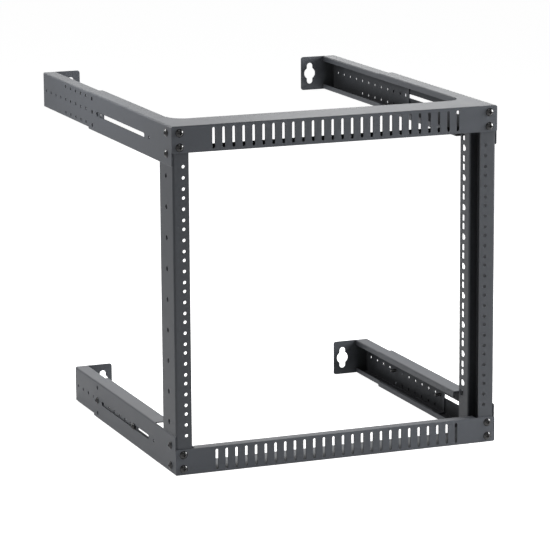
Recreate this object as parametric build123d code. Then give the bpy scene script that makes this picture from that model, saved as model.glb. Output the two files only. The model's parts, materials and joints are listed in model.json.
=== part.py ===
from build123d import *
import os

# A nine-unit open wall rack: two posts of bent sheet joined by a slotted bar at top and
# bottom, and four side arms that run back to the wall. Each arm is a channel fixed to the
# frame with a second channel that slides inside it, so that the depth can be set.
# Lengths are in millimetres. +X is to the right seen from the front, +Y runs back to the
# wall and +Z is up. The origin is the middle of the bay, on the face of the posts.

# Equipment bay, to the 19 inch standard
UNIT_HEIGHT = 44.45
UNITS = 9
UNIT_HOLE_STEPS = (6.35, 22.225, 38.1)
BAY_WIDTH = 449.0
BAY_MARGIN = 51.0
RACK_HOLE_SETBACK = 8.05
RACK_HOLE_DIAMETER = 5.0

# Sheets
FRAME_SHEET = 1.5
POST_SHEET = 2.0
BEND_INNER = 1.0

# Posts
POST_FLANGE_WIDTH = 24.0
POST_DEPTH = 57.0
POST_RETURN = 15.5
POST_LIP = 30.0
CAGE_HOLE = 9.5
CAGE_HOLE_SETBACK = 10.0
CAGE_NOTCH_DIAMETER = 7.0
POST_SIDE_HOLE_DIAMETER = 7.5

# Bars
BAR_HEIGHT = 38.0
BAR_PLATE_DEPTH = 64.0
BAR_GUSSET_RADIUS = 24.0
BAR_GUSSET_LAND = 1.0
BAR_RETURN_DEPTH = 18.0
BAR_LIP = 8.0
BAR_RETURN_GAP = 4.0
TIE_SLOT_END_ROOM = 36.0
TIE_SLOT_PITCH = 15.0
TIE_SLOT_WIDTH = 4.0
TIE_SLOT_LENGTH = 30.0

# Fixed channels
CHANNEL_HEIGHT = 57.5
CHANNEL_FLANGE = 25.4
CHANNEL_LIP = 9.0
CHANNEL_LENGTH = 372.0
CHANNEL_POST_GAP = 2.0
TRAVEL_SLOT_WIDTH = 6.4
TRAVEL_SLOT_ROOM = 4.0
SLOT_POST_GAP = 28.0
SLOT_LOCK_GAP = 20.0
PILOT_HOLE_DIAMETER = 5.0
PILOT_HOLE_GAP = 21.0
LOCK_HOLE_SETBACK = 19.0
LOCK_HOLE_DIAMETER = 6.2

# Sliding arms
SLIDE_CLEARANCE = 0.3
ARM_LIP = 8.0
ARM_LENGTH = 300.0
ARM_HOLE_DIAMETER = 5.0
ARM_HOLE_PITCH = 25.0
ARM_FIRST_HOLE = 16.5
ARM_HOLE_ROOM = 19.0
ARM_ROW_SPACING = 20.0
ARM_SIDE_ROW_START = 100.0
SLOT_SCREW_SETBACK = 14.0
UPPER_DRAW_BACK = 10.0
LOWER_HOLES_BEHIND_LOCK = 4

# Wall flanges
WALL_FLANGE_WIDTH = 60.0
WALL_BEND_INNER = 2.0
KEYHOLE_EDGE = 15.0
KEYHOLE_DIAMETER = 19.0
KEYHOLE_SLOT_WIDTH = 10.0
KEYHOLE_HEIGHT = 34.0
FLANGE_CORNER_RADIUS = 4.0

# Frame screws
SCREW_DIAMETER = 6.0
SCREW_HOLE_DIAMETER = 6.2
SCREW_REACH = 8.0
HEAD_DIAMETER = 12.0
FRONT_SCREW_INSET = 12.0
FRONT_SCREW_DROPS = (9.5, 30.0)
SIDE_SCREW_DEPTH = 20.0
SIDE_SCREW_DROPS = (11.0, 40.7)

# Arm screws
ARM_SCREW_DIAMETER = 4.8
ARM_SCREW_REACH = 9.0
ARM_HEAD_DIAMETER = 10.0

# Screw heads
HEAD_HEIGHT = 3.5
HEAD_EDGE_RADIUS = 2.0
RECESS_MARGIN = 3.0
RECESS_WIDTH = 1.2
RECESS_DEPTH = 1.8

# Worked out from the sizes above
web_inner_x = BAY_WIDTH / 2 + POST_FLANGE_WIDTH
half_width = web_inner_x + FRAME_SHEET
half_height = UNITS * UNIT_HEIGHT / 2 + BAY_MARGIN
rack_hole_x = BAY_WIDTH / 2 + RACK_HOLE_SETBACK
bend_outer = BEND_INNER + FRAME_SHEET
bar_inner_z = half_height - BAR_HEIGHT
tie_slot_count = int((BAY_WIDTH - 2 * TIE_SLOT_END_ROOM) // TIE_SLOT_PITCH) + 1
plate_end = BAR_PLATE_DEPTH + BAR_GUSSET_RADIUS + BAR_GUSSET_LAND
post_end = POST_DEPTH + POST_LIP
flange_inner_x = half_width - CHANNEL_FLANGE
channel_low_z = half_height - CHANNEL_HEIGHT
channel_middle_z = half_height - CHANNEL_HEIGHT / 2
lock_hole_y = CHANNEL_LENGTH - LOCK_HOLE_SETBACK
slot_start_y = post_end + SLOT_POST_GAP
slot_end_y = lock_hole_y - SLOT_LOCK_GAP
arm_outer_x = web_inner_x - SLIDE_CLEARANCE
arm_inner_x = flange_inner_x + FRAME_SHEET + SLIDE_CLEARANCE
arm_top_z = half_height - FRAME_SHEET - SLIDE_CLEARANCE
arm_low_z = channel_low_z + FRAME_SHEET + SLIDE_CLEARANCE
wall_bend_outer = WALL_BEND_INNER + FRAME_SHEET
wall_flange_x = arm_outer_x - WALL_FLANGE_WIDTH
keyhole_x = wall_flange_x + KEYHOLE_EDGE
slot_screw_to_wall = ARM_LENGTH - SLOT_SCREW_SETBACK
arm_row_length = slot_screw_to_wall - ARM_HOLE_ROOM - ARM_FIRST_HOLE
depth_max = slot_end_y - TRAVEL_SLOT_ROOM + slot_screw_to_wall
upper_depth = depth_max - UPPER_DRAW_BACK
lower_depth = lock_hole_y + LOWER_HOLES_BEHIND_LOCK * ARM_HOLE_PITCH + ARM_FIRST_HOLE
rack_hole_heights = [
    UNITS * UNIT_HEIGHT / 2 - unit * UNIT_HEIGHT - step
    for unit in range(UNITS)
    for step in UNIT_HOLE_STEPS
]
unit_middle_heights = rack_hole_heights[1::len(UNIT_HOLE_STEPS)]

# Each corner's side and level: the upper right one is drawn, and the others mirror it
CORNERS = {
    "top_left": (-1, 1),
    "top_right": (1, 1),
    "bottom_left": (-1, -1),
    "bottom_right": (1, -1),
}


def mirrored(shape, side, level):
    """Shape drawn for the upper right corner, moved to the corner on this side and level."""
    if side < 0:
        shape = mirror(shape, about=Plane.YZ)
    if level < 0:
        shape = mirror(shape, about=Plane.XY)
    return shape


def bent_section(path, sheet):
    """Section of a sheet bent along path, which is the middle of its thickness."""
    middle = FilletPolyline(*path, radius=BEND_INNER + sheet / 2)
    return trace(middle, line_width=sheet)


def along_x(section, start, end):
    """Solid of a section drawn in Y and Z."""
    return extrude(Plane.YZ.offset(start) * section, amount=end - start)


def along_y(section, start, end):
    """Solid of a section drawn in X and Z."""
    return extrude(Plane.XZ.offset(-start) * section, amount=start - end)


def along_z(section, start, end):
    """Solid of a section drawn in X and Y."""
    return extrude(Plane.XY.offset(start) * section, amount=end - start)


def block(low, high):
    """Box between two corners."""
    size = [b - a for a, b in zip(low, high)]
    middle = [(a + b) / 2 for a, b in zip(low, high)]
    return Pos(*middle) * Box(*size)


def edge_cutter(radius, length):
    """Cutter that rounds an edge along Z, for a solid that lies towards -X and -Y of the origin."""
    corner = Pos(-radius / 2, -radius / 2) * Rectangle(radius, radius)
    rounding = Pos(-radius, -radius) * Circle(radius)
    return extrude(corner - rounding, amount=length / 2, both=True)


def drill_x(x, y, z, diameter, length):
    """Round cutter along X, centred on a point."""
    return Pos(x, y, z) * Rot(0, 90, 0) * Cylinder(diameter / 2, length)


def drill_y(x, y, z, diameter, length):
    """Round cutter along Y, centred on a point."""
    return Pos(x, y, z) * Rot(90, 0, 0) * Cylinder(diameter / 2, length)


def front_screw_places():
    """X and Z of the screws that hold a bar's end to its post."""
    x = half_width - FRONT_SCREW_INSET
    return [(x, half_height - drop) for drop in FRONT_SCREW_DROPS]


def side_screw_places():
    """Y and Z of the screws that hold a channel to its post."""
    return [(SIDE_SCREW_DEPTH, half_height - drop) for drop in SIDE_SCREW_DROPS]


def make_bar():
    """Top bar: slotted face, plate over the posts and arms, and a stiffening return below."""
    middle = FRAME_SHEET / 2
    plate_z = half_height - middle
    return_z = bar_inner_z + middle
    return_y = BAR_RETURN_DEPTH - FRAME_SHEET - middle
    face = along_x(
        bent_section([(bend_outer, plate_z), (-middle, plate_z), (-middle, bar_inner_z)], FRAME_SHEET),
        -half_width,
        half_width,
    )
    upper_corner = Plane.XZ * Pos(half_width, half_height) * edge_cutter(bend_outer, 4 * bend_outer)
    lower_corner = (
        Plane.XZ * Pos(half_width, bar_inner_z) * Rot(0, 0, -90) * edge_cutter(bend_outer, 4 * bend_outer)
    )
    for corner in (upper_corner, lower_corner):
        face -= [corner, mirrored(corner, -1, 1)]
    return_half = BAY_WIDTH / 2 - BAR_RETURN_GAP
    stiffener = along_x(
        bent_section(
            [
                (-middle, half_height - bend_outer - FRAME_SHEET),
                (-middle, return_z),
                (return_y, return_z),
                (return_y, bar_inner_z + BAR_LIP),
            ],
            FRAME_SHEET,
        ),
        -return_half,
        return_half,
    )
    plate_half = half_width - bend_outer
    plate_outline = FilletPolyline(
        (-plate_half, BEND_INNER),
        (plate_half, BEND_INNER),
        (plate_half, plate_end),
        (flange_inner_x, plate_end),
        (flange_inner_x, BAR_PLATE_DEPTH),
        (-flange_inner_x, BAR_PLATE_DEPTH),
        (-flange_inner_x, plate_end),
        (-plate_half, plate_end),
        radius=(0, 0, 0, 0, BAR_GUSSET_RADIUS, BAR_GUSSET_RADIUS, 0, 0),
        close=True,
    )
    plate = along_z(make_face(plate_outline), half_height - FRAME_SHEET, half_height)
    arm_room = [
        block(
            (min(side * plate_half, side * 2 * half_width), BEND_INNER, half_height - 2 * bend_outer),
            (max(side * plate_half, side * 2 * half_width), plate_end, half_height + bend_outer),
        )
        for side in (-1, 1)
    ]
    slot_z = half_height - BAR_HEIGHT / 2
    first_slot_x = -TIE_SLOT_PITCH * (tie_slot_count - 1) / 2
    slot = Rot(0, 0, 90) * SlotOverall(TIE_SLOT_LENGTH, TIE_SLOT_WIDTH)
    slots = [
        along_y(Pos(first_slot_x + i * TIE_SLOT_PITCH, slot_z) * slot, -2 * FRAME_SHEET, FRAME_SHEET)
        for i in range(tie_slot_count)
    ]
    holes = [
        drill_y(side * x, 0, z, SCREW_HOLE_DIAMETER, 4 * FRAME_SHEET)
        for side in (-1, 1)
        for x, z in front_screw_places()
    ]
    return face + stiffener + plate - arm_room - slots - holes


def make_post():
    """Right post: front flange with the rack holes, side web, return and lip with cage holes."""
    middle = POST_SHEET / 2
    web_x = web_inner_x - middle
    lip_x = web_inner_x - POST_RETURN + middle
    section = bent_section(
        [
            (BAY_WIDTH / 2, middle),
            (web_x, middle),
            (web_x, POST_DEPTH - middle),
            (lip_x, POST_DEPTH - middle),
            (lip_x, post_end),
        ],
        POST_SHEET,
    )
    top = half_height - bend_outer
    post = along_z(section, -top, top)
    reach = 4 * POST_SHEET
    rack_holes = [drill_y(rack_hole_x, middle, z, RACK_HOLE_DIAMETER, reach) for z in rack_hole_heights]
    cage_hole_y = post_end - CAGE_HOLE_SETBACK
    cage_holes = [
        Pos(lip_x, cage_hole_y, z) * Box(reach, CAGE_HOLE, CAGE_HOLE) for z in rack_hole_heights
    ]
    notches = [
        drill_x(lip_x, cage_hole_y - CAGE_HOLE / 2, z, CAGE_NOTCH_DIAMETER, reach)
        for z in unit_middle_heights
    ]
    side_holes = [
        drill_x(web_x, POST_DEPTH / 2, z, POST_SIDE_HOLE_DIAMETER, reach) for z in unit_middle_heights
    ]
    screw_holes = []
    for level in (-1, 1):
        for x, z in front_screw_places():
            screw_holes.append(drill_y(x, middle, level * z, SCREW_HOLE_DIAMETER, reach))
        for y, z in side_screw_places():
            screw_holes.append(drill_x(web_x, y, level * z, SCREW_HOLE_DIAMETER, reach))
    return post - rack_holes - cage_holes - notches - side_holes - screw_holes


def channel_path(outer_x, inner_x, low_z, high_z, lip):
    """Middle line of a lipped channel that opens to the left."""
    middle = FRAME_SHEET / 2
    return [
        (inner_x + middle, high_z - lip),
        (inner_x + middle, high_z - middle),
        (outer_x - middle, high_z - middle),
        (outer_x - middle, low_z + middle),
        (inner_x + middle, low_z + middle),
        (inner_x + middle, low_z + lip),
    ]


def make_channel():
    """Upper right fixed channel: its flanges stop short of the post, its web runs to the front."""
    section = bent_section(
        channel_path(half_width, flange_inner_x, channel_low_z, half_height, CHANNEL_LIP), FRAME_SHEET
    )
    channel = along_y(section, 0, CHANNEL_LENGTH)
    left = flange_inner_x - FRAME_SHEET
    plate_half = half_width - bend_outer
    plate_room = block(
        (left, -FRAME_SHEET, channel_middle_z), (plate_half, plate_end, half_height + FRAME_SHEET)
    )
    upper_post_room = block(
        (left, -FRAME_SHEET, channel_middle_z), (web_inner_x, plate_end, half_height - bend_outer)
    )
    lower_post_room = block(
        (left, -FRAME_SHEET, channel_low_z - FRAME_SHEET),
        (web_inner_x, post_end + CHANNEL_POST_GAP, channel_middle_z),
    )
    bar_room = block(
        (left, -FRAME_SHEET, half_height - bend_outer),
        (half_width + FRAME_SHEET, BEND_INNER, half_height + FRAME_SHEET),
    )
    slot_length = slot_end_y - slot_start_y
    slot = extrude(
        Plane.YZ.offset(web_inner_x - FRAME_SHEET)
        * Pos((slot_start_y + slot_end_y) / 2, channel_middle_z)
        * SlotOverall(slot_length, TRAVEL_SLOT_WIDTH),
        amount=3 * FRAME_SHEET,
    )
    web_x = half_width - FRAME_SHEET / 2
    reach = 3 * FRAME_SHEET
    holes = [drill_x(web_x, slot_start_y - PILOT_HOLE_GAP, channel_middle_z, PILOT_HOLE_DIAMETER, reach)]
    for row in (-1, 0, 1):
        z = channel_middle_z + row * ARM_ROW_SPACING
        holes.append(drill_x(web_x, lock_hole_y, z, LOCK_HOLE_DIAMETER, reach))
    for y, z in side_screw_places():
        holes.append(drill_x(web_x, y, z, SCREW_HOLE_DIAMETER, reach))
    return channel - plate_room - upper_post_room - lower_post_room - bar_room - slot - holes


def make_arm(depth):
    """Upper right sliding arm, with its wall flange at this depth."""
    section = bent_section(
        channel_path(arm_outer_x, arm_inner_x, arm_low_z, arm_top_z, ARM_LIP), FRAME_SHEET
    )
    arm = along_y(section, depth - ARM_LENGTH, depth)
    flange_end = arm_outer_x - bend_outer
    height = arm_top_z - arm_low_z
    middle_z = (arm_top_z + arm_low_z) / 2
    outline = FilletPolyline(
        (flange_end, arm_low_z),
        (flange_end, arm_top_z),
        (wall_flange_x, arm_top_z),
        (wall_flange_x, arm_low_z),
        radius=(0, 0, FLANGE_CORNER_RADIUS, FLANGE_CORNER_RADIUS),
        close=True,
    )
    keyhole = Circle(KEYHOLE_DIAMETER / 2) + Rot(0, 0, 90) * SlotOverall(
        KEYHOLE_HEIGHT, KEYHOLE_SLOT_WIDTH
    )
    flange = make_face(outline) - Pos(keyhole_x, middle_z) * keyhole
    arm += along_y(flange, depth - FRAME_SHEET, depth)
    arm += along_y(rear_end_section(), depth - FRAME_SHEET, depth)
    inner_corner = Pos(arm_outer_x - FRAME_SHEET, depth - FRAME_SHEET, middle_z)
    arm += inner_corner * edge_cutter(WALL_BEND_INNER, height - 2 * bend_outer)
    arm -= Pos(arm_outer_x, depth, middle_z) * edge_cutter(wall_bend_outer, 2 * height)
    web_x = arm_outer_x - FRAME_SHEET / 2
    reach = 3 * FRAME_SHEET
    last_hole = int(arm_row_length // ARM_HOLE_PITCH)
    holes = []
    for row in (-1, 0, 1):
        for i in range(last_hole + 1):
            if row == 0 or i * ARM_HOLE_PITCH >= ARM_SIDE_ROW_START:
                y = depth - ARM_FIRST_HOLE - i * ARM_HOLE_PITCH
                z = channel_middle_z + row * ARM_ROW_SPACING
                holes.append(drill_x(web_x, y, z, ARM_HOLE_DIAMETER, reach))
    slot_screw_y = depth - slot_screw_to_wall
    holes.append(drill_x(web_x, slot_screw_y, channel_middle_z, SCREW_HOLE_DIAMETER, reach))
    return arm - holes


def rear_end_section():
    """Rounded corners of the arm's section where its web turns into the wall flange."""
    outline = FilletPolyline(
        (arm_outer_x, arm_low_z),
        (arm_outer_x, arm_top_z),
        (arm_outer_x - 2 * bend_outer, arm_top_z),
        (arm_outer_x - 2 * bend_outer, arm_low_z),
        radius=(bend_outer, bend_outer, 0, 0),
        close=True,
    )
    return make_face(outline)


def make_screw(diameter, head_diameter, length):
    """Pan-head screw: the head stands up from the XY plane, and the shank runs down."""
    head = extrude(Circle(head_diameter / 2), amount=HEAD_HEIGHT)
    head = fillet(head.edges().group_by(Axis.Z)[-1], HEAD_EDGE_RADIUS)
    wing = Box(head_diameter - 2 * RECESS_MARGIN, RECESS_WIDTH, 2 * RECESS_DEPTH)
    recess = Pos(0, 0, HEAD_HEIGHT) * (wing + Rot(0, 0, 90) * wing)
    return head - recess + make_shank(diameter, length)


def make_shank(diameter, length):
    """Plain shank that runs down from the XY plane."""
    return extrude(Circle(diameter / 2), amount=-length)


def make_corner_screws(prefix, side, level):
    """The four screws that hold one corner together."""
    screws = {}
    screw = make_screw(SCREW_DIAMETER, HEAD_DIAMETER, SCREW_REACH)
    for i, (x, z) in enumerate(front_screw_places(), 1):
        placed = Pos(x, -FRAME_SHEET, z) * Rot(90, 0, 0) * screw
        screws[f"{prefix}_front_screw_{i}"] = mirrored(placed, side, level)
    for i, (y, z) in enumerate(side_screw_places(), 1):
        placed = Pos(half_width, y, z) * Rot(0, 90, 0) * screw
        screws[f"{prefix}_side_screw_{i}"] = mirrored(placed, side, level)
    return screws


def make_arm_screws(prefix, side, level, depth):
    """Screw that runs in a channel's slot, and the lock screw, whose end stays in the arm."""
    to_outside = Rot(0, 90, 0)
    head_x = half_width + SLIDE_CLEARANCE
    slot_y = depth - slot_screw_to_wall
    slot_length = head_x - arm_outer_x + FRAME_SHEET + ARM_SCREW_REACH
    slot_screw = make_screw(ARM_SCREW_DIAMETER, ARM_HEAD_DIAMETER, slot_length)
    lock_screw = make_screw(ARM_SCREW_DIAMETER, ARM_HEAD_DIAMETER, FRAME_SHEET)
    lock_end = make_shank(ARM_SCREW_DIAMETER, FRAME_SHEET + ARM_SCREW_REACH)
    pieces = {
        "slot_screw": Pos(head_x, slot_y, channel_middle_z) * to_outside * slot_screw,
        "lock_screw": Pos(half_width, lock_hole_y, channel_middle_z) * to_outside * lock_screw,
        "lock_screw_end": Pos(arm_outer_x, lock_hole_y, channel_middle_z) * to_outside * lock_end,
    }
    return {f"{prefix}_{name}": mirrored(piece, side, level) for name, piece in pieces.items()}


def make_parts():
    """Every piece of the rack, by its node's name."""
    bar = make_bar()
    post = make_post()
    channel = make_channel()
    arms = {1: make_arm(upper_depth), -1: make_arm(lower_depth)}
    parts = {
        "top_bar": bar,
        "bottom_bar": mirrored(bar, 1, -1),
        "right_post": post,
        "left_post": mirrored(post, -1, 1),
    }
    for corner, (side, level) in CORNERS.items():
        parts[f"{corner}_channel"] = mirrored(channel, side, level)
        parts[f"{corner}_arm"] = mirrored(arms[level], side, level)
        parts.update(make_corner_screws(corner, side, level))
        if level < 0:
            parts.update(make_arm_screws(corner, side, level, lower_depth))
    return parts


os.makedirs("parts", exist_ok=True)
for name, part in make_parts().items():
    export_step(part, f"parts/{name}.step")
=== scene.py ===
import json
import math
from functools import cache

import bmesh
import bpy
from mathutils import Matrix, Vector

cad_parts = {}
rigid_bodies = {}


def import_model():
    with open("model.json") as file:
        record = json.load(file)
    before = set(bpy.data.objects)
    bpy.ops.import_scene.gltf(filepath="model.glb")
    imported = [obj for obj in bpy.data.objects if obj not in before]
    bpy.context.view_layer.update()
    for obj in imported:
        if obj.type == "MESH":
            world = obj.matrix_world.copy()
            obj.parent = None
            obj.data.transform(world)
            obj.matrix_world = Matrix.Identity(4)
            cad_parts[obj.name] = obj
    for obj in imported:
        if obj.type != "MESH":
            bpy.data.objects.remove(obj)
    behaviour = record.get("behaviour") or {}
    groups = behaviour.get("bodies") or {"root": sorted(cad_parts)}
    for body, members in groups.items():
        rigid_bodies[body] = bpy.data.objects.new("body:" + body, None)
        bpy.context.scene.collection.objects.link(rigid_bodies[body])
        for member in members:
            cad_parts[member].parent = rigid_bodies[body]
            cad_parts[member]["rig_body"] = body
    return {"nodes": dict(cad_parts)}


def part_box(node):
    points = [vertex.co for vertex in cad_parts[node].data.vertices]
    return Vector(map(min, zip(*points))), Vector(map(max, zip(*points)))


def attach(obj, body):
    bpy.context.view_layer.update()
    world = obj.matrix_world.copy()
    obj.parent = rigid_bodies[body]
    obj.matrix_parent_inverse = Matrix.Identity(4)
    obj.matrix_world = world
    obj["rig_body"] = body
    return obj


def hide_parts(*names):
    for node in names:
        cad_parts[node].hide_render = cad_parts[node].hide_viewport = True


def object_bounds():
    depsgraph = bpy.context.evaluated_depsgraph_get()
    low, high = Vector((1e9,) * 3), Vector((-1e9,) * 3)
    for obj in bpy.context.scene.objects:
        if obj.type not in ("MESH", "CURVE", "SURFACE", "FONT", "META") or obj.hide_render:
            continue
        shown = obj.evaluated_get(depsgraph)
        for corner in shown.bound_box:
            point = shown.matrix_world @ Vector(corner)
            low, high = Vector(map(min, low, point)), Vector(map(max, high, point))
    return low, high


# An open wall rack of folded sheet steel with a charcoal powder coat, and black machine screws.
# Lengths are in metres, angles in degrees. +X is to the right, +Y runs back to the wall.

MM = 0.001

# Camera
CAMERA_AZIMUTH = 21.422
CAMERA_ELEVATION = 11.824
CAMERA_ROLL = -0.366
CAMERA_DISTANCE = 4.5292
CAMERA_AIM = Vector((-0.0179, 0.2, -0.0166))
CAMERA_LENS = 198.59
CAMERA_CLIP_END = 200.0
SENSOR_WIDTH = 36.0

# Soft lamps: where each stands, its size and its power
LIGHT_AIM = Vector((0.0, 0.15, 0.0))
LAMPS = {
    "right": (Vector((1.543, -0.263, 0.581)), 0.75, 43.0),
    "front_high": (Vector((-0.226, -1.130, 2.252)), 1.2, 8.0),
    "left_near": (Vector((-0.66, 0.42, 0.57)), 0.30, 3.9),
    "back": (Vector((0.213, 2.584, 0.889)), 1.6, 11.0),
    "back_right": (Vector((0.745, 1.214, 0.750)), 0.7, 3.8),
}

# World and floor
AMBIENT = 0.12
HORIZON_TOP = 0.35
ZENITH_START = 0.70
ZENITH_LEVEL = 0.10
FLOOR_HALF = 40.0
FLOOR_COLOR = (0.80, 0.80, 0.80)
FLOOR_GLOW = 0.905
FLOOR_MIRRORED = 0.50

# Powder coat
COAT_COLOR = (0.056, 0.062, 0.073)
COAT_ROUGHNESS = 0.50
COAT_SPECULAR = 0.50
COAT_SPREAD = 0.03
MOTTLE_SCALE = 22.0
MOTTLE_SHARE = 0.04
MOTTLE_DETAIL = 3.0
# Painted light and shade: the one coat is made darker on the posts and lighter on the bars, for how light
# falls on them.
POST_SHADE_TONE = 0.78
BAR_LIGHT_TONE = 1.10

# Painted shade and a duller coat in recesses, from shut in (RECESS_SHUT) to open air (RECESS_OPEN)
RECESS_SHADE_TONE = 0.25
RECESS_ROUGHNESS = 0.90
RECESS_REACH = 45.0 * MM
RECESS_SHUT = 0.50
RECESS_OPEN = 0.97
RECESS_SAMPLES = 8

# The coat's orange peel and its soft edges
PEEL_SCALE = 1400.0
PEEL_DETAIL = 2.0
PEEL_STRENGTH = 0.25
PEEL_HEIGHT = 0.03 * MM
EDGE_RADIUS = 0.35 * MM
EDGE_SAMPLES = 6

# Places of the colour sockets on a Mix node
COLOR_A = 6
COLOR_B = 7
COLOR_RESULT = 2

# Black screws
SCREW_COLOR = (0.010, 0.010, 0.011)
SCREW_ROUGHNESS = 0.20
SCREW_SEGMENTS = 48
SHANK_ROOT = 0.2 * MM
HEAD_HEIGHT = 3.5 * MM
HEAD_RIM = 0.4 * MM
DOME_STEPS = 12
FRAME_SHANK = 6.0 * MM
ARM_SHANK = 4.8 * MM
CROSS_REACH_SHARE = 0.50
CROSS_HALF_WIDTH = 0.75 * MM
CROSS_DEPTH = 2.1 * MM
CROSS_TAPER = 0.45
THREAD_PITCH = 0.8 * MM
THREAD_DEPTH = 0.35 * MM
THREAD_STEPS = 8
SHARP_ANGLE = 40.0
SIZE_DIGITS = 6


def make_camera():
    azimuth, elevation = math.radians(CAMERA_AZIMUTH), math.radians(CAMERA_ELEVATION)
    away = Vector((
        -math.sin(azimuth) * math.cos(elevation),
        -math.cos(azimuth) * math.cos(elevation),
        math.sin(elevation),
    ))
    data = bpy.data.cameras.new("camera")
    data.lens = CAMERA_LENS
    data.sensor_width = SENSOR_WIDTH
    data.clip_end = CAMERA_CLIP_END
    camera = bpy.data.objects.new("camera", data)
    bpy.context.scene.collection.objects.link(camera)
    look = (-away).to_track_quat("-Z", "Y")
    roll = Matrix.Rotation(math.radians(CAMERA_ROLL), 3, "Z").to_quaternion()
    camera.rotation_mode = "QUATERNION"
    camera.rotation_quaternion = look @ roll
    camera.location = CAMERA_AIM + away * CAMERA_DISTANCE
    bpy.context.scene.camera = camera


def make_lamp(name, place, size, power):
    data = bpy.data.lights.new(name, "AREA")
    data.shape = "SQUARE"
    data.size = size
    data.energy = power
    lamp = bpy.data.objects.new(name, data)
    bpy.context.scene.collection.objects.link(lamp)
    lamp.location = place
    lamp.rotation_euler = (LIGHT_AIM - place).to_track_quat("-Z", "Y").to_euler()
    lamp.visible_camera = False


class Nodes:
    """Short way to build a node tree."""

    def __init__(self, tree):
        self.tree = tree
        tree.nodes.clear()

    def add(self, kind, **values):
        node = self.tree.nodes.new(kind)
        for name, value in values.items():
            setattr(node, name, value)
        return node

    def link(self, source, target):
        self.tree.links.new(source, target)

    def shows_white(self):
        """Light Path node, and 1 for the camera, reflected and refracted rays, which see white."""
        path = self.add("ShaderNodeLightPath")
        seen = path.outputs["Is Camera Ray"]
        for kind in ("Is Glossy Ray", "Is Transmission Ray"):
            either = self.add("ShaderNodeMath", operation="MAXIMUM")
            self.link(seen, either.inputs[0])
            self.link(path.outputs[kind], either.inputs[1])
            seen = either.outputs[0]
        return path, seen


def make_world():
    """White to the camera, white round the horizon in reflections, and a low even light."""
    world = bpy.data.worlds.new("studio")
    bpy.context.scene.world = world
    world.use_nodes = True
    n = Nodes(world.node_tree)
    path, seen = n.shows_white()
    where = n.add("ShaderNodeTexCoord")
    split = n.add("ShaderNodeSeparateXYZ")
    n.link(where.outputs["Generated"], split.inputs[0])
    height = n.add("ShaderNodeMapRange", interpolation_type="SMOOTHSTEP")
    n.link(split.outputs["Z"], height.inputs["Value"])
    height.inputs["From Min"].default_value = HORIZON_TOP
    height.inputs["From Max"].default_value = ZENITH_START
    height.inputs["To Min"].default_value = 1.0
    height.inputs["To Max"].default_value = ZENITH_LEVEL
    mirrored = n.add("ShaderNodeMix")
    n.link(path.outputs["Is Glossy Ray"], mirrored.inputs["Factor"])
    mirrored.inputs["A"].default_value = 1.0
    n.link(height.outputs["Result"], mirrored.inputs["B"])
    level = n.add("ShaderNodeMix")
    n.link(seen, level.inputs["Factor"])
    level.inputs["A"].default_value = AMBIENT
    n.link(mirrored.outputs["Result"], level.inputs["B"])
    background = n.add("ShaderNodeBackground")
    n.link(level.outputs["Result"], background.inputs["Strength"])
    out = n.add("ShaderNodeOutputWorld")
    n.link(background.outputs[0], out.inputs[0])


def floor_material():
    material = bpy.data.materials.new("floor")
    material.use_nodes = True
    n = Nodes(material.node_tree)
    paint = n.add("ShaderNodeBsdfDiffuse")
    paint.inputs["Color"].default_value = (*FLOOR_COLOR, 1.0)
    glow = n.add("ShaderNodeEmission")
    path, seen = n.shows_white()
    strength = n.add("ShaderNodeMix")
    n.link(path.outputs["Is Glossy Ray"], strength.inputs["Factor"])
    strength.inputs["A"].default_value = FLOOR_GLOW
    strength.inputs["B"].default_value = FLOOR_MIRRORED
    n.link(strength.outputs["Result"], glow.inputs["Strength"])
    pale = n.add("ShaderNodeAddShader")
    n.link(paint.outputs[0], pale.inputs[0])
    n.link(glow.outputs[0], pale.inputs[1])
    mix = n.add("ShaderNodeMixShader")
    n.link(seen, mix.inputs[0])
    n.link(paint.outputs[0], mix.inputs[1])
    n.link(pale.outputs[0], mix.inputs[2])
    out = n.add("ShaderNodeOutputMaterial")
    n.link(mix.outputs[0], out.inputs[0])
    return material


def make_floor(height):
    mesh = bpy.data.meshes.new("floor")
    half = FLOOR_HALF
    corners = [(-half, -half, height), (half, -half, height), (half, half, height), (-half, half, height)]
    mesh.from_pydata(corners, [], [(0, 1, 2, 3)])
    mesh.materials.append(floor_material())
    floor = bpy.data.objects.new("floor", mesh)
    bpy.context.scene.collection.objects.link(floor)


def toned(color, tone):
    return (*(part * tone for part in color), 1.0)


def noise_on_piece(n, scale, detail):
    """Noise that keeps its place on the piece."""
    where = n.add("ShaderNodeTexCoord")
    noise = n.add("ShaderNodeTexNoise")
    noise.inputs["Scale"].default_value = scale
    noise.inputs["Detail"].default_value = detail
    n.link(where.outputs["Object"], noise.inputs["Vector"])
    return noise.outputs["Fac"]


def open_air_share(n):
    """0 deep in a recess of the piece, and 1 where it is open to the air; it masks the painted shade in
    recesses.
    """
    air = n.add("ShaderNodeAmbientOcclusion", samples=RECESS_SAMPLES, only_local=True)
    air.inputs["Distance"].default_value = RECESS_REACH
    share = n.add("ShaderNodeMapRange")
    n.link(air.outputs["AO"], share.inputs["Value"])
    share.inputs["From Min"].default_value = RECESS_SHUT
    share.inputs["From Max"].default_value = RECESS_OPEN
    return share.outputs["Result"]


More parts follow.
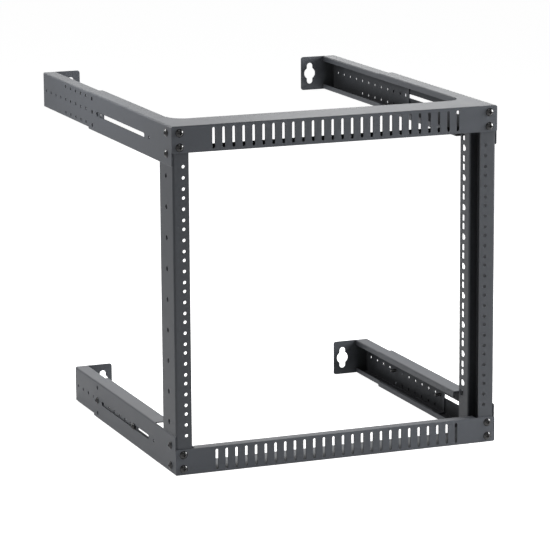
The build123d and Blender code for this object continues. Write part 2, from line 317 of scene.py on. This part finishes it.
def coat_color(n, mottle, open_air, tone):
    """Faintly mottled colour, with painted shade that darkens it in recesses."""
    tint = n.add("ShaderNodeMix", data_type="RGBA")
    n.link(mottle, tint.inputs["Factor"])
    tint.inputs[COLOR_A].default_value = toned(COAT_COLOR, tone * (1.0 - MOTTLE_SHARE))
    tint.inputs[COLOR_B].default_value = toned(COAT_COLOR, tone * (1.0 + MOTTLE_SHARE))
    # Painted shade: the coat colour darkened deep in recesses, where shade falls.
    shade = n.add("ShaderNodeMix", data_type="RGBA")
    n.link(open_air, shade.inputs["Factor"])
    shade.inputs[COLOR_A].default_value = toned(COAT_COLOR, tone * RECESS_SHADE_TONE)
    n.link(tint.outputs[COLOR_RESULT], shade.inputs[COLOR_B])
    return shade.outputs[COLOR_RESULT]


def coat_roughness(n, mottle, open_air):
    """Satin roughness that varies a little, and turns dull in recesses."""
    satin = n.add("ShaderNodeMapRange")
    n.link(mottle, satin.inputs["Value"])
    satin.inputs["To Min"].default_value = COAT_ROUGHNESS - COAT_SPREAD
    satin.inputs["To Max"].default_value = COAT_ROUGHNESS + COAT_SPREAD
    dull = n.add("ShaderNodeMix")
    n.link(open_air, dull.inputs["Factor"])
    dull.inputs["A"].default_value = RECESS_ROUGHNESS
    n.link(satin.outputs["Result"], dull.inputs["B"])
    return dull.outputs["Result"]


def coat_normal(n):
    """Orange peel over softened edges."""
    bevel = n.add("ShaderNodeBevel", samples=EDGE_SAMPLES)
    bevel.inputs["Radius"].default_value = EDGE_RADIUS
    bump = n.add("ShaderNodeBump")
    bump.inputs["Strength"].default_value = PEEL_STRENGTH
    bump.inputs["Distance"].default_value = PEEL_HEIGHT
    n.link(noise_on_piece(n, PEEL_SCALE, PEEL_DETAIL), bump.inputs["Height"])
    n.link(bevel.outputs[0], bump.inputs["Normal"])
    return bump.outputs[0]


def coat_material(name, tone=1.0):
    """Satin powder coat: fine orange peel, faint mottling, and painted shade with a duller coat in deep
    recesses.
    """
    material = bpy.data.materials.new(name)
    material.use_nodes = True
    n = Nodes(material.node_tree)
    mottle = noise_on_piece(n, MOTTLE_SCALE, MOTTLE_DETAIL)
    open_air = open_air_share(n)
    coat = n.add("ShaderNodeBsdfPrincipled")
    coat.inputs["Specular IOR Level"].default_value = COAT_SPECULAR
    n.link(coat_color(n, mottle, open_air, tone), coat.inputs["Base Color"])
    n.link(coat_roughness(n, mottle, open_air), coat.inputs["Roughness"])
    n.link(coat_normal(n), coat.inputs["Normal"])
    out = n.add("ShaderNodeOutputMaterial")
    n.link(coat.outputs[0], out.inputs[0])
    return material


def screw_material():
    material = bpy.data.materials.new("screw_black")
    material.use_nodes = True
    n = Nodes(material.node_tree)
    shader = n.add("ShaderNodeBsdfPrincipled")
    shader.inputs["Base Color"].default_value = (*SCREW_COLOR, 1.0)
    shader.inputs["Roughness"].default_value = SCREW_ROUGHNESS
    out = n.add("ShaderNodeOutputMaterial")
    n.link(shader.outputs[0], out.inputs[0])
    return material


def use_material(node, material):
    node.data.materials.clear()
    node.data.materials.append(material)


def join_rings(rings):
    """Closed mesh through rings that all have as many points, with a face on each end."""
    mesh = bmesh.new()
    loops = [[mesh.verts.new(point) for point in ring] for ring in rings]
    for below, above in zip(loops, loops[1:]):
        for i in range(len(below)):
            j = (i + 1) % len(below)
            mesh.faces.new((below[i], below[j], above[j], above[i]))
    mesh.faces.new(list(reversed(loops[0])))
    mesh.faces.new(loops[-1])
    bmesh.ops.recalc_face_normals(mesh, faces=mesh.faces)
    return mesh


def round_ring(radius, z):
    turns = [2 * math.pi * i / SCREW_SEGMENTS for i in range(SCREW_SEGMENTS)]
    return [Vector((radius * math.cos(t), radius * math.sin(t), z)) for t in turns]


def head_rings(radius):
    """Rings of a domed head that stands up from z = 0: a low rim, then part of a ball."""
    rise = HEAD_HEIGHT - HEAD_RIM
    ball = (radius ** 2 + rise ** 2) / (2 * rise)
    widest = math.asin(radius / ball)
    rings = [round_ring(radius, 0.0)]
    for i in range(DOME_STEPS):
        turn = widest * (1.0 - i / DOME_STEPS)
        rings.append(round_ring(ball * math.sin(turn), HEAD_HEIGHT - ball * (1.0 - math.cos(turn))))
    return rings


def cross_ring(reach, half_width, z):
    """Outline of a cross of four arms."""
    quarter = [(reach, -half_width), (reach, half_width), (half_width, half_width)]
    points = []
    for turn in range(4):
        rotation = Matrix.Rotation(math.pi / 2 * turn, 3, "Z")
        points += [rotation @ Vector((x, y, z)) for x, y in quarter]
    return points


def thread_rings(radius, length, root):
    """Rings of a threaded shank that runs down from z = root, ending in a short bare neck and chamfer."""
    rings = [round_ring(radius - THREAD_DEPTH, root)]
    step = THREAD_PITCH / THREAD_STEPS
    count = int((length - THREAD_PITCH) / step)
    for i in range(1, count + 1):
        z = -i * step
        ring = []
        for j in range(SCREW_SEGMENTS):
            turn = j / SCREW_SEGMENTS
            phase = (z / THREAD_PITCH + turn) % 1.0
            ridge = 1.0 - abs(2.0 * phase - 1.0)
            across = radius - THREAD_DEPTH * (1.0 - ridge)
            angle = 2 * math.pi * turn
            ring.append(Vector((across * math.cos(angle), across * math.sin(angle), z)))
        rings.append(ring)
    rings.append(round_ring(radius - THREAD_DEPTH, -count * step - step))
    rings.append(round_ring(radius - 2 * THREAD_DEPTH, -length))
    return rings


def mesh_of(mesh, name):
    data = bpy.data.meshes.new(name)
    mesh.to_mesh(data)
    mesh.free()
    return data


def cut(data, cutter):
    """Mesh of data with cutter taken away."""
    body = bpy.data.objects.new("cut", data)
    tool = bpy.data.objects.new("cutter", cutter)
    for piece in (body, tool):
        bpy.context.scene.collection.objects.link(piece)
    change = body.modifiers.new("recess", "BOOLEAN")
    change.operation = "DIFFERENCE"
    change.object = tool
    change.solver = "EXACT"
    shown = body.evaluated_get(bpy.context.evaluated_depsgraph_get())
    result = bpy.data.meshes.new_from_object(shown)
    for piece in (body, tool):
        bpy.data.objects.remove(piece)
    return result


def recess_mesh(radius):
    """Cutter for a cross recess whose arms narrow with depth, for a head of this radius."""
    rings = []
    for up in (-CROSS_DEPTH, CROSS_DEPTH):
        share = 1.0 + (1.0 - CROSS_TAPER) * up / CROSS_DEPTH
        reach = radius * CROSS_REACH_SHARE * share
        rings.append(cross_ring(reach, CROSS_HALF_WIDTH * share, HEAD_HEIGHT + up))
    return mesh_of(join_rings(rings), "recess")


@cache
def screw_mesh(head_radius, shank_radius, shank_length):
    """Screw along Z with its seat at z = 0. With no head it is only the threaded end."""
    whole = bmesh.new()
    if head_radius:
        head = mesh_of(join_rings(head_rings(head_radius)), "head")
        whole.from_mesh(cut(head, recess_mesh(head_radius)))
    root = SHANK_ROOT if head_radius else 0.0
    whole.from_mesh(mesh_of(join_rings(thread_rings(shank_radius, shank_length, root)), "shank"))
    data = mesh_of(whole, "screw")
    data.shade_smooth()
    data.set_sharp_from_angle(angle=math.radians(SHARP_ANGLE))
    return data


def add_screw(node, body, material):
    """Detailed screw in the place of a CAD one, which lies along X or Y with its head outside."""
    low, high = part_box(node)
    size = high - low
    middle = (low + high) / 2
    along = 1 if "front" in node else 0
    axis = Vector((0.0, 0.0, 0.0))
    axis[along] = -1.0 if along == 1 or middle.x < 0 else 1.0
    has_head = not node.endswith("end")
    head_height = HEAD_HEIGHT if has_head else 0.0
    head_radius = round(size.z / 2, SIZE_DIGITS) if has_head else 0.0
    shank = FRAME_SHANK if "front" in node or "side" in node else ARM_SHANK
    data = screw_mesh(head_radius, shank / 2, round(size[along] - head_height, SIZE_DIGITS))
    if not data.materials:
        data.materials.append(material)
    screw = bpy.data.objects.new(f"{node}_detail", data)
    bpy.context.scene.collection.objects.link(screw)
    seat = middle + axis * (size[along] / 2 - head_height)
    screw.matrix_world = Matrix.Translation(seat) @ axis.to_track_quat("Z", "Y").to_matrix().to_4x4()
    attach(screw, body)
    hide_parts(node)


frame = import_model()
cad_low, cad_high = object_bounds()

make_camera()
for name, (place, size, power) in LAMPS.items():
    make_lamp(name, place, size, power)
make_world()
make_floor(cad_low.z)

coats = {
    # Lit and shaded copies of one coat: painted light on the bars, painted shade on the posts.
    "bar": coat_material("coat_bar", BAR_LIGHT_TONE),
    "post": coat_material("coat_post", POST_SHADE_TONE),
    "channel": coat_material("coat_channel"),
    "arm": coat_material("coat_arm"),
}
screw_black = screw_material()
for name, node in frame["nodes"].items():
    if "screw" in name:
        add_screw(name, node["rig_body"], screw_black)
    else:
        use_material(node, coats[name.split("_")[-1]])

bpy.context.scene.view_settings.view_transform = "Standard"
